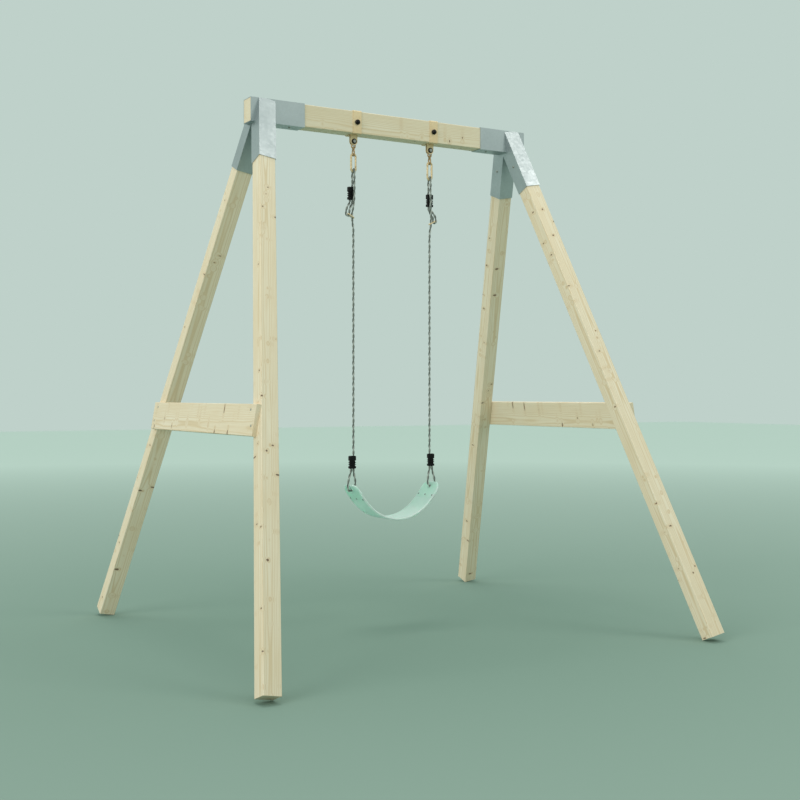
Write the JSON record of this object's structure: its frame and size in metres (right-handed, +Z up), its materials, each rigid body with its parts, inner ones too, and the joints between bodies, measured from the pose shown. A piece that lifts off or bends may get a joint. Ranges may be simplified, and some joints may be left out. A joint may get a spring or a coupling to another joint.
{
  "type": "free-standing garden swing with belt seat",
  "caption": "Free-standing timber A-frame swing: beam in sheet-metal corner brackets, splayed posts, cross boards, and a flexible belt seat hung on adjustable ropes.",
  "frame": {"origin": "on the ground under the middle of the beam, half way between the two A-frames and between the front and rear posts", "axes": "+Z up; +X along the beam to the right of someone facing the front; +Y towards the rear, the direction the seat swings"},
  "size_m": [2.0954, 1.94, 2.2565],
  "materials": {
    "timber": "planed pressure-treated softwood with small knots",
    "galvanised_steel": "hot-dip galvanised sheet with a soft spangle",
    "gold_zinc": "yellow-passivated zinc",
    "bright_steel": "bright zinc",
    "black_plastic": "moulded, slightly satin",
    "rope_fibre": "two-ply twisted polypropylene",
    "seat_plastic": "flexible mint-green moulded plastic, satin"
  },
  "bodies": {
    "frame": {"beam": "timber", "leg_front_left": "timber", "leg_rear_left": "timber", "bracket_left": "galvanised_steel", "bracket_screws_left": "bright_steel", "brace_left": "timber", "brace_screws_left": "bright_steel", "hanger_strap_left": "gold_zinc", "beam_bolt_left": "gold_zinc", "beam_nut_left": "gold_zinc", "bolt_caps_left": "black_plastic", "ear_bolt_left": "bright_steel", "ear_nut_left": "bright_steel", "ear_washers_left": "black_plastic", "swivel_link_left": "gold_zinc", "leg_front_right": "timber", "leg_rear_right": "timber", "bracket_right": "galvanised_steel", "bracket_screws_right": "bright_steel", "brace_right": "timber", "brace_screws_right": "bright_steel", "hanger_strap_right": "gold_zinc", "beam_bolt_right": "gold_zinc", "beam_nut_right": "gold_zinc", "bolt_caps_right": "black_plastic", "ear_bolt_right": "bright_steel", "ear_nut_right": "bright_steel", "ear_washers_right": "black_plastic", "swivel_link_right": "gold_zinc"},
    "swing": {"carabiner_left": "gold_zinc", "gate_rivet_left": "bright_steel", "rope_main_left": "rope_fibre", "rope_end_loop_left": "rope_fibre", "rope_seat_loop_left": "rope_fibre", "upper_clamp_left": "black_plastic", "lower_clamp_left": "black_plastic", "rope_adjuster_left": "gold_zinc", "carabiner_right": "gold_zinc", "gate_rivet_right": "bright_steel", "rope_main_right": "rope_fibre", "rope_end_loop_right": "rope_fibre", "rope_seat_loop_right": "rope_fibre", "upper_clamp_right": "black_plastic", "lower_clamp_right": "black_plastic", "rope_adjuster_right": "gold_zinc"},
    "gate_left": {"carabiner_gate_left": "gold_zinc"},
    "gate_right": {"carabiner_gate_right": "gold_zinc"},
    "belt": {"seat": "seat_plastic", "seat_rivets_left": "bright_steel", "seat_rivets_right": "bright_steel"}
  },
  "joints": [
    {"name": "swing_hinge", "type": "hinge", "parent": "frame", "child": "swing", "pos_m": [0, 0, 2.075], "axis": [1, 0, 0], "range_deg": [-60, 60]},
    {"name": "seat_tilt", "type": "hinge", "parent": "swing", "child": "belt", "pos_m": [0, 0, 0.61511], "axis": [1, 0, 0], "range_deg": [-30, 30]},
    {"name": "gate_left_hinge", "type": "hinge", "parent": "swing", "child": "gate_left", "pos_m": [-0.183, 0, 2.02], "axis": [0, -1, 0], "range_deg": [0, 18], "stiffness_Nm_per_rad": 0.02, "springref_deg": -17.19},
    {"name": "gate_right_hinge", "type": "hinge", "parent": "swing", "child": "gate_right", "pos_m": [0.183, 0, 2.02], "axis": [0, 1, 0], "range_deg": [0, 18], "stiffness_Nm_per_rad": 0.02, "springref_deg": -17.19}
  ]
}
